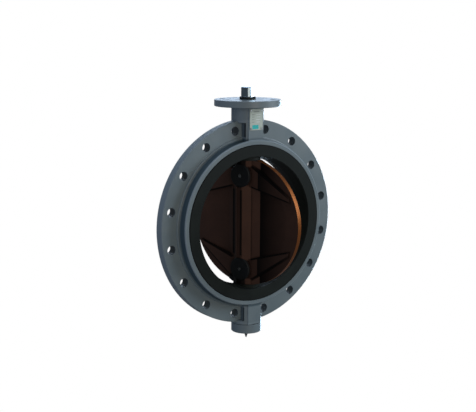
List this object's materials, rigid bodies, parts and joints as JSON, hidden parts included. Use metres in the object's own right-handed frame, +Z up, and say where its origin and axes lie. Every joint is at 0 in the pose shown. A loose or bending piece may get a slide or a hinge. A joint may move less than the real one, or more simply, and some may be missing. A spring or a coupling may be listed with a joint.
{
  "type": "butterfly valve",
  "caption": "Single-flange concentric butterfly valve with a round bronze-coloured disc, rubber seat liner, neck with an actuator flange and a bare stem.",
  "frame": {"origin": "centre of the bore, at the middle of the pipe flange's thickness, where the stem axis crosses the pipe axis", "axes": "+Y along the pipe, away from the nameplate side; +Z up the stem towards the actuator flange; +X across"},
  "size_m": [0.505, 0.304, 0.628],
  "materials": {
    "body_paint": "ductile iron with a satin grey epoxy coating",
    "seat_rubber": "moulded EPDM, matt",
    "seal_rubber": "moulded nitrile rubber, matt",
    "bush_bronze": "turned bronze",
    "spring_steel": "blackened spring steel",
    "fastener_steel": "zinc-plated steel",
    "plug_steel": "turned steel",
    "stem_steel": "ground stainless steel",
    "plate_aluminium": "satin anodised aluminium plate",
    "rivet_aluminium": "bright aluminium",
    "disc_bronze": "sand-cast aluminium bronze with a machined rim",
    "cap_polymer": "black moulded polymer cap"
  },
  "bodies": {
    "valve_body": {"body_casting": "body_paint", "seat_liner": "seat_rubber", "liner_o_rings": "seal_rubber", "inner_neck_bush": "bush_bronze", "stem_packing_rings": "seal_rubber", "outer_neck_bush": "bush_bronze", "neck_retaining_ring": "spring_steel", "dust_seal_ring": "seal_rubber", "trunnion_bush": "bush_bronze", "thrust_washer": "bush_bronze", "bottom_gasket": "seal_rubber", "bottom_cover": "body_paint", "bottom_cover_screws": "fastener_steel", "bottom_plug": "plug_steel", "nameplate": "plate_aluminium", "nameplate_rivets": "rivet_aluminium"},
    "disc_and_stem": {"disc": "disc_bronze", "drive_stem": "stem_steel", "trunnion_shaft": "stem_steel", "upper_taper_pin": "stem_steel", "lower_taper_pin": "stem_steel", "upper_pin_cap": "cap_polymer", "lower_pin_cap": "cap_polymer", "pin_cap_screws": "fastener_steel", "pin_cap_o_rings": "seal_rubber", "stem_snap_ring": "spring_steel"}
  },
  "joints": [
    {"name": "disc_turn", "type": "hinge", "parent": "valve_body", "child": "disc_and_stem", "pos_m": [0, 0, 0], "axis": [0, 0, 1], "range_deg": [-17.5, 72.5]}
  ]
}
